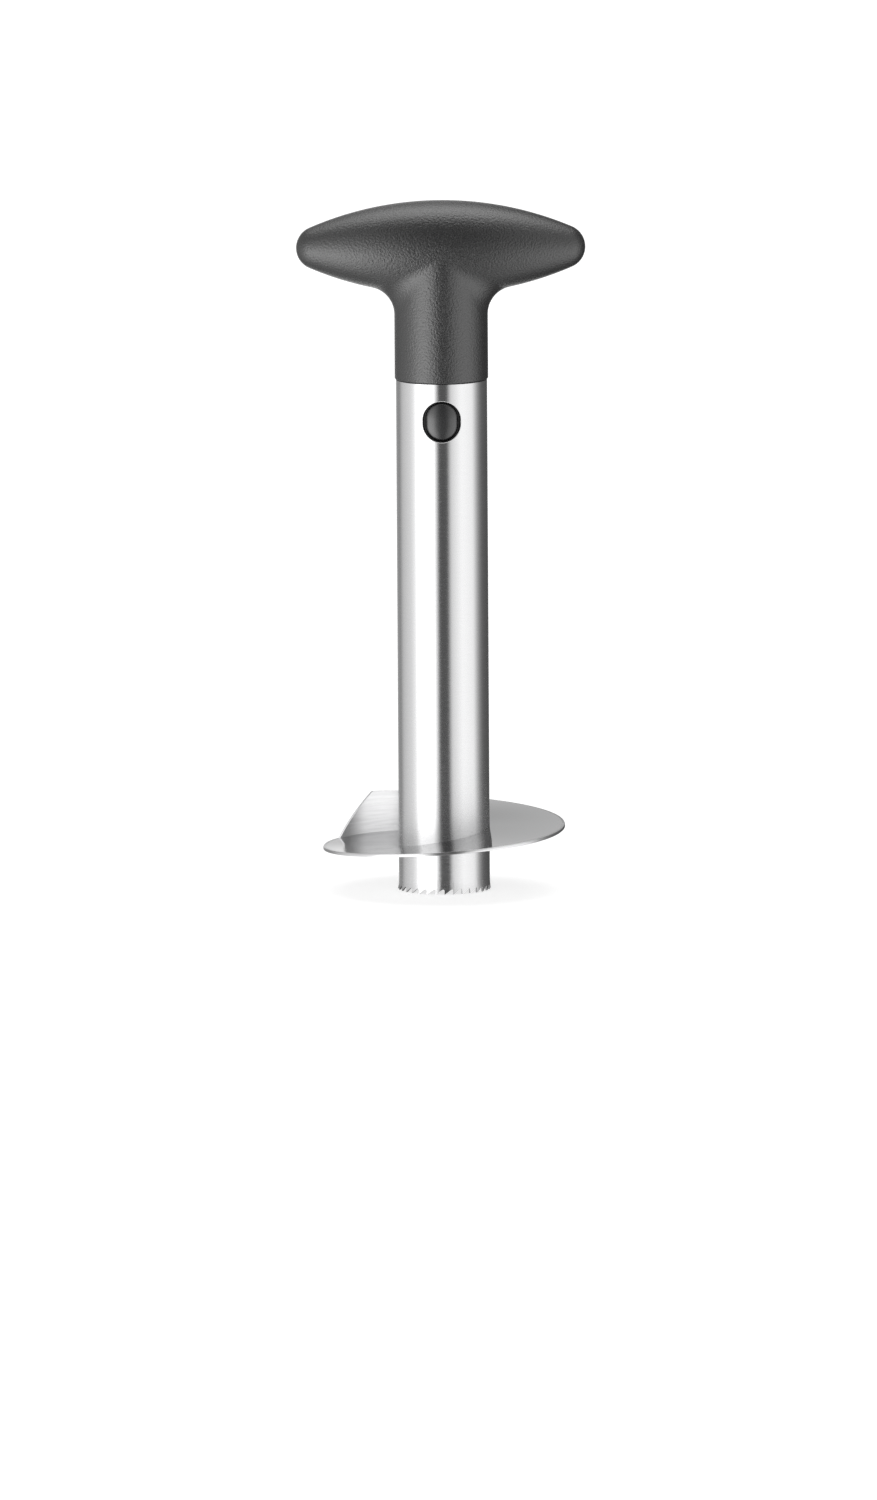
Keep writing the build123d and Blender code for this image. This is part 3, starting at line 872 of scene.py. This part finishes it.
class SLICER_OT_grip(bpy.types.Operator):
    """Make the T grip, and dress the core inside it"""

    bl_idname = "slicer.grip"
    bl_label = "Grip"

    neck_columns = 32
    arm_stations = 36
    side_steps = 48
    fillet_steps = 12
    stem_rows = 16
    stem_room_steps = 96
    arm_room_steps = 64

    def spindle(self, run):
        """The (place along the bar, radius) at a length of run from the tip along the bar's outline."""
        nose_run = self.nose * self.nose_turn
        if run < nose_run:
            turn = run / self.nose
            return self.nose_centre + self.nose * math.cos(turn), self.nose * math.sin(turn)
        turn = self.nose_turn + (run - nose_run) / self.sweep
        return self.sweep * math.cos(turn), self.sweep * math.sin(turn) - self.sweep_drop

    def neck(self, angle):
        """The fillet's centre and its contact on the bar, (place, radius, turn), at an angle round Z."""
        reach = self.stem + self.fillet
        across, aside = reach * math.cos(angle), reach * math.sin(angle)
        off_radius = math.sqrt((self.sweep + self.fillet) ** 2 - across**2) - self.sweep_drop
        level = self.bar_level - math.sqrt(off_radius**2 - aside**2)
        centre = Vector((across, aside, level))
        share = self.sweep / (self.sweep + self.fillet)
        bar_place = across * share
        bar_radius = (off_radius + self.sweep_drop) * share - self.sweep_drop
        return centre, (bar_place, bar_radius, math.atan2(aside, self.bar_level - level))

    def on_bar(self, place, radius, turn):
        """A point of the bar, with the turn from straight down towards +Y."""
        return Vector((place, radius * math.sin(turn), self.bar_level - radius * math.cos(turn)))

    def quarter(self):
        """Points and faces of the quarter with X and Y positive."""
        points, faces = [], []

        def add_rows(rows):
            skin = skin_rows(len(rows), len(rows[0]), closed_rows=False)
            add_part(points, faces, [point for row in rows for point in row], skin)

        def bar_row(place, radius, turn):
            turns_up = steps_between(turn, math.pi, self.side_steps)
            return [self.on_bar(place, radius, t) for t in turns_up]

        turns = [math.radians(90 * n / self.neck_columns) for n in range(self.neck_columns + 1)]
        necks = [self.neck(t) for t in turns]
        first_place = necks[0][1][0]
        sweep_turn = math.acos(first_place / self.sweep) - self.nose_turn
        first_run = self.nose * self.nose_turn + self.sweep * sweep_turn
        rows = [bar_row(*self.spindle(run), 0) for run in steps_between(0, first_run, self.arm_stations)]
        add_rows(rows + [bar_row(*contact) for _, contact in necks[1:]])
        rows = []
        for angle, (centre, contact) in zip(turns, necks):
            stem_way = Vector((-math.cos(angle), -math.sin(angle), 0))
            bar_way = (self.on_bar(*contact) - centre).normalized()
            shares = steps_between(0, 1, self.fillet_steps)
            arc = [centre + self.fillet * bar_way.slerp(stem_way, s) for s in shares]
            side = Vector((math.cos(angle), math.sin(angle), 0))
            levels = steps_between(centre.z, self.foot + self.lip, self.stem_rows)
            column = [side * self.stem + Vector((0, 0, z)) for z in levels]
            lip = side * (self.stem - self.lip) + Vector((0, 0, self.foot))
            rows.append(arc + column[1:] + [lip, Vector((0, 0, self.foot))])
        add_rows(rows)
        return points, faces

    def execute(self, context):
        sizes = context.scene.slicer_grip
        self.nose, self.stem, self.fillet, self.lip = (
            sizes.nose_radius, sizes.stem_radius, sizes.neck_radius, sizes.stem_lip)
        bar_radius = sizes.bar_radius
        self.foot = grip_low.z
        self.bar_level = grip_high.z - bar_radius
        self.nose_centre = grip_high.x - self.nose
        self.sweep = (self.nose_centre**2 + bar_radius**2 - self.nose**2) / (2 * (bar_radius - self.nose))
        self.sweep_drop = self.sweep - bar_radius
        self.nose_turn = math.atan2(self.sweep_drop, self.nose_centre)
        quarter, quarter_faces = self.quarter()
        points, faces = [], []
        for side_x in (1, -1):
            for side_y in (1, -1):
                mirrored = [Vector((p.x * side_x, p.y * side_y, p.z)) for p in quarter]
                add_part(points, faces, mirrored, quarter_faces)
        grip = mesh_piece("grip", points, faces, pebbled_plastic(sizes.charcoal))
        for cutter in self.core_room(sizes):
            cut(grip, cutter)
        smooth_by_angle(grip)
        hand_over(grip, "tool", "grip_plastic", "handle_grip")
        dress_node("handle_core", satin_plastic("core_plastic", (0.03, 0.03, 0.03), 0.4, 0.5))
        return {"FINISHED"}

    def core_room(self, sizes):
        """The two forms that leave room for the core: a stem and a pair of tapered arms."""
        core_low, core_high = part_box("handle_core")
        radius = core_high.y
        stem = [(radius, self.foot - radius), (radius, self.bar_level)]
        yield mesh_piece("stem_room", *turned(stem, self.stem_room_steps, 0, "Z"))
        arms = [(sizes.core_tip, core_low.x), (radius, 0), (sizes.core_tip, core_high.x)]
        yield mesh_piece("arm_room", *turned(arms, self.arm_room_steps, self.bar_level, "X"))


# Lock

class SLICER_OT_lock(bpy.types.Operator):
    """Make the two lock buttons and their spring, and dress the housing, its cap and the screws"""

    bl_idname = "slicer.lock"
    bl_label = "Push-button Lock"

    half_steps = 32
    face_rings = 22
    edge_round = 0.0009
    spigot_round = 0.0004
    spigot_steps = 48
    # Room between a button's flange and the cap's stop walls
    stop_gap = 0.00005
    spring_turn_steps = 40
    wire_steps = 12
    # Faces of a box whose corners come in the order of X, then Y, then Z
    box_faces = ((0, 1, 3, 2), (4, 6, 7, 5), (0, 4, 5, 1), (2, 3, 7, 6), (0, 2, 6, 4), (1, 5, 7, 3))

    def button(self, name, sizes, side, material):
        """A button with a crowned, rounded face, on its flange and spigot; side is -1 for the front."""
        half, straight = sizes.button_width / 2, sizes.button_height - sizes.button_width
        crown = -button_low.y
        flange_in = sizes.spigot_length - button_high.y
        flange_out = flange_in + sizes.flange_thickness
        width = 2 * (self.half_steps + 1)
        # The first ring is the face's outline again, half way into the flange
        rings = [0.0] + [half * (1 - math.cos(math.pi / 2 * s)) for s in steps_between(0, 1, self.face_rings)]
        points = []
        for row, inset in enumerate(rings):
            for step in range(width):
                low = step > self.half_steps
                angle = math.pi * (step - low) / self.half_steps
                x = (half - inset) * math.cos(angle)
                z = (half - inset) * math.sin(angle) + (-straight if low else straight) / 2
                short = max(self.edge_round - inset, 0)
                drop = self.edge_round - math.sqrt(self.edge_round**2 - short**2)
                drop += sizes.dome_drop * max(1 - inset / sizes.dome_reach, 0) ** 2
                sag = sizes.dome_radius - math.sqrt(sizes.dome_radius**2 - z**2)
                depth = math.sqrt(crown**2 - x**2) - sag - drop if row else (flange_in + flange_out) / 2
                points.append(Vector((x, side * depth, button_level + z)))
        faces = skin_rows(len(rings), width)
        faces.append(tuple(range(width)))
        flange_depths = (side * (flange_in + self.stop_gap), side * flange_out)
        flange = [Vector((x, y, z)) for x in (-button_high.x, button_high.x) for y in flange_depths
                  for z in (button_low.z, button_high.z)]
        add_part(points, faces, flange, self.box_faces)
        spigot_tip = flange_in - sizes.spigot_length
        spigot = [(sizes.spigot_radius, side * (flange_in + self.spigot_round)),
                  (sizes.spigot_radius, side * (spigot_tip + self.spigot_round)),
                  (sizes.spigot_radius - self.spigot_round, side * spigot_tip)]
        add_part(points, faces, *turned(spigot, self.spigot_steps, button_level, "Y"))
        piece = mesh_piece(name, points, faces, material)
        smooth_by_angle(piece, angle=40)
        return piece

    def spring_half(self, name, sizes, side, material):
        """Half of the spring, a coil along Y from the middle to one flange."""
        reach = spring_high.y - sizes.wire / 2
        coil = (spring_high.x - spring_low.x - sizes.wire) / 2
        given = {
            "Turns": sizes.spring_turns / 2, "Coil radius": coil, "Reach": reach,
            "Wire radius": sizes.wire / 2,
        }
        tree, inputs = new_shape_tree("ButtonSpring", given)
        line = add_node(tree, "GeometryNodeCurveSpiral", {
            "Resolution": self.spring_turn_steps, "Rotations": inputs["Turns"],
            "Start Radius": inputs["Coil radius"], "End Radius": inputs["Coil radius"],
            "Height": inputs["Reach"]})
        wire = add_node(tree, "GeometryNodeCurvePrimitiveCircle", {
            "Resolution": self.wire_steps, "Radius": inputs["Wire radius"]})
        coiled = add_node(tree, "GeometryNodeCurveToMesh", {
            "Curve": line.outputs[0], "Profile Curve": wire.outputs[0], "Fill Caps": True})
        laid = add_node(tree, "GeometryNodeTransform", {
            "Geometry": coiled.outputs[0], "Rotation": (math.radians(-90 * side), 0, 0),
            "Translation": (0, 0, button_level)})
        smooth = add_node(tree, "GeometryNodeSetShadeSmooth", {"Geometry": laid.outputs[0]})
        end_shape_tree(tree, smooth.outputs[0], material)
        return grown_piece(name, tree, given, bpy.data.meshes.new(name + "_seed"))

    def execute(self, context):
        sizes = context.scene.slicer_lock
        button_plastic = satin_plastic("button_plastic", (0.02, 0.02, 0.021), 0.22, 0.34)
        black = satin_plastic("housing_plastic", sizes.black, 0.45, 0.55, gloss=0.25)
        steel = wire_steel()
        for name, side, node in (("front_button", -1, "button_front"), ("rear_button", 1, "button_rear")):
            hand_over(self.button(name, sizes, side, button_plastic), name, "button_plastic", node)
        halves = (("spring_front", -1, "front_button_press"), ("spring_rear", 1, "rear_button_press"))
        for name, side, joint in halves:
            half = self.spring_half(name, sizes, side, steel)
            hand_over(half, "tool", "hardware_steel", "button_spring")
            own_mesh(half)
        for node, material in (("lock_housing", black), ("lock_cap", black), ("lock_screws", steel)):
            dress_node(node, material)
        return {"FINISHED"}


# Studio

class SLICER_OT_studio(bpy.types.Operator):
    """Make the floor, the soft light and the camera"""

    bl_idname = "slicer.studio"
    bl_label = "Studio"

    # Brightness of the studio round the tool, as (azimuth from the camera towards +X, brightness):
    # the panels and gaps at its own height, and the dimmer walls over and under them
    panels = (
        (-180, 1.55), (-172, 0.95), (-160, 0.34), (-135, 0.3), (-120, 0.67), (-88, 1.0), (-74, 1.4),
        (-62, 2.8), (-27, 2.8), (-8, 0.12), (13, 0.12), (23, 1.02), (50, 1.46), (84, 1.28), (91, 0.92),
        (98, 0.58), (106, 0.32), (116, 0.17), (126, 0.12), (150, 0.08), (168, 0.1), (174, 0.66), (180, 1.55))
    walls = (
        (-180, 0.05), (-165, 0.3), (-120, 0.45), (-80, 0.35), (-25, 0.2), (-8, 0.06), (15, 0.06),
        (35, 0.4), (60, 0.6), (100, 0.45), (120, 0.2), (150, 0.2), (168, 0.15), (180, 0.05))
    # How much of the panels is left at an elevation, and how much of the overhead light at a pitch
    # that runs from the horizon in front over the top to the horizon behind
    panel_fade = (
        (-90, 0.15), (-76, 0.25), (-56, 0.5), (-39, 0.9), (-23, 1.0), (-7, 0.95), (2, 0.72), (9, 0.5),
        (15, 0.42), (23, 0.34), (39, 0.2), (55, 0.1), (90, 0.0))
    overhead_fade = ((-180, 0.0), (80, 0.0), (92, 1.0), (118, 1.0), (140, 0.0), (180, 0.0))
    overhead_brightness = 2.3
    # How far beside the tool the overhead light starts and ends to fade, as shares of its distance
    overhead_sides = (0.2, 0.65)

    lamp_place, lamp_aim = Vector((0, 0.3, 2.6)), Vector((0, 0, 0.1))
    lamp_size, lamp_watts = 2.2, 6
    # The point in the middle of the view, the camera's sensor in millimetres and how far it sees
    view_aim = Vector((-0.0018, 0, 0.04898))
    sensor_height = 36
    sight = 50

    def ramp(self, tree, value, stops):
        """A ramp through (degrees, brightness) stops; the value is in degrees."""
        low, high = stops[0][0], stops[-1][0]
        share = spread(tree, value, 0.0, 1.0, start=float(low), end=float(high))
        ramp = add_node(tree, "ShaderNodeValToRGB", {"Fac": share})
        elements = ramp.color_ramp.elements
        elements[0].position, elements[1].position = 0, 1
        for degrees, _ in stops[1:-1]:
            elements.new((degrees - low) / (high - low))
        for element, (_, brightness) in zip(elements, stops):
            element.color = (brightness, brightness, brightness, 1)
        return ramp.outputs[0]

    def world(self, context):
        """A white studio with the softer and darker zones that the steel mirrors."""
        world = bpy.data.worlds.new("Studio")
        context.scene.world = world
        world.use_nodes = True
        tree = world.node_tree
        shell = tree.nodes["Background"]
        way = add_node(tree, "ShaderNodeTexCoord").outputs["Generated"]
        x, y, z = add_node(tree, "ShaderNodeSeparateXYZ", {0: way}).outputs
        front = math_node(tree, "MULTIPLY", y, -1.0)
        azimuth = math_node(tree, "DEGREES", math_node(tree, "ARCTAN2", x, front))
        elevation = math_node(tree, "DEGREES", math_node(tree, "ARCSINE", z))
        low = self.ramp(tree, azimuth, self.panels)
        dim = self.ramp(tree, azimuth, self.walls)
        around = mixed(tree, self.ramp(tree, elevation, self.panel_fade), dim, low)
        pitch = math_node(tree, "DEGREES", math_node(tree, "ARCTAN2", z, front))
        near, far = self.overhead_sides
        beside = spread(tree, math_node(tree, "ABSOLUTE", x), 1.0, 0.0, start=near, end=far)
        above = math_node(tree, "MULTIPLY", self.ramp(tree, pitch, self.overhead_fade), beside)
        seen = mixed(tree, above, around, (self.overhead_brightness,) * 3 + (1,))
        rays = add_node(tree, "ShaderNodeLightPath").outputs["Is Camera Ray"]
        tree.links.new(mixed(tree, rays, seen, (1, 1, 1, 1)), shell.inputs["Color"])

    def floor(self, reach):
        """A plain pale floor under the tooth tips."""
        corners = ((-reach, -reach), (reach, -reach), (reach, reach), (-reach, reach))
        material, _, _ = new_material("pale_floor", {
            "Base Color": (0.5, 0.5, 0.5, 1), "Roughness": 0.9, "Specular IOR Level": 0.1,
            "Emission Color": (1, 1, 1, 1), "Emission Strength": 0.72})
        floor = mesh_piece("floor", [(x, y, 0) for x, y in corners], [(0, 1, 2, 3)], material)
        floor.visible_glossy = False
        floor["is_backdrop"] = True

    def soft_light(self, context):
        """A square soft light overhead, which gives the tool its soft shadow."""
        light = bpy.data.lights.new("overhead", "AREA")
        light.size = self.lamp_size
        light.energy = self.lamp_watts
        lamp = bpy.data.objects.new("overhead", light)
        lamp.location = self.lamp_place
        lamp.rotation_euler = (self.lamp_aim - self.lamp_place).to_track_quat("-Z", "Y").to_euler()
        lamp.visible_glossy = False
        context.scene.collection.objects.link(lamp)

    def camera(self, context, sizes):
        """The camera, at the picture's viewing angle."""
        lens = bpy.data.cameras.new("camera")
        lens.sensor_fit = "VERTICAL"
        lens.sensor_height = self.sensor_height
        lens.lens = lens.sensor_height * sizes.camera_distance / sizes.view_height
        lens.clip_end = self.sight
        eye = bpy.data.objects.new("camera", lens)
        tilt = math.radians(sizes.camera_elevation)
        eye.location = self.view_aim + sizes.camera_distance * Vector((0, -math.cos(tilt), math.sin(tilt)))
        lean = Matrix.Rotation(math.radians(-sizes.camera_roll), 3, "Z")
        eye.rotation_euler = (Matrix.Rotation(math.pi / 2 - tilt, 3, "X") @ lean).to_euler()
        context.scene.collection.objects.link(eye)
        context.scene.camera = eye

    def execute(self, context):
        sizes = context.scene.slicer_studio
        context.scene.view_settings.view_transform = "Standard"
        self.world(context)
        self.floor(sizes.floor_reach)
        self.soft_light(context)
        self.camera(context, sizes)
        return {"FINISHED"}


class SLICER_PT_pieces(bpy.types.Panel):
    """The slicer's pieces, its studio and their sizes"""

    bl_idname = "SLICER_PT_pieces"
    bl_label = "Pineapple Slicer"
    bl_space_type = "VIEW_3D"
    bl_region_type = "UI"
    bl_category = "Slicer"

    def draw(self, context):
        for operator, name, _ in build_order:
            box = self.layout.box()
            box.operator(operator.bl_idname)
            group = getattr(context.scene, name)
            for prop in group.bl_rna.properties:
                if prop.identifier not in ("rna_type", "name"):
                    box.prop(group, prop.identifier)


# Each operator with its sizes, in the order that they run
build_order = (
    (SLICER_OT_corer_tube, "slicer_tube", TubeSizes),
    (SLICER_OT_slicing_blade, "slicer_blade", BladeSizes),
    (SLICER_OT_grip, "slicer_grip", GripSizes),
    (SLICER_OT_lock, "slicer_lock", LockSizes),
    (SLICER_OT_studio, "slicer_studio", StudioSizes),
)
classes = (*(group for _, _, group in build_order), *(operator for operator, _, _ in build_order),
           SLICER_PT_pieces)


def register():
    for kind in classes:
        bpy.utils.register_class(kind)
    for _, name, group in build_order:
        setattr(bpy.types.Scene, name, PointerProperty(type=group))


def unregister():
    for _, name, _ in build_order:
        delattr(bpy.types.Scene, name)
    for kind in reversed(classes):
        bpy.utils.unregister_class(kind)


def main():
    """Builds the scene and measures the model's size before and after."""
    register()
    bpy.ops.slicer.corer_tube()
    bpy.ops.slicer.slicing_blade()
    bpy.ops.slicer.grip()
    bpy.ops.slicer.lock()
    bpy.ops.slicer.studio()
    sizes = {name: [list(corner) for corner in box] for name, box in (("cad", cad_box), ("visual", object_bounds()))}


if __name__ == "__main__":
    main()
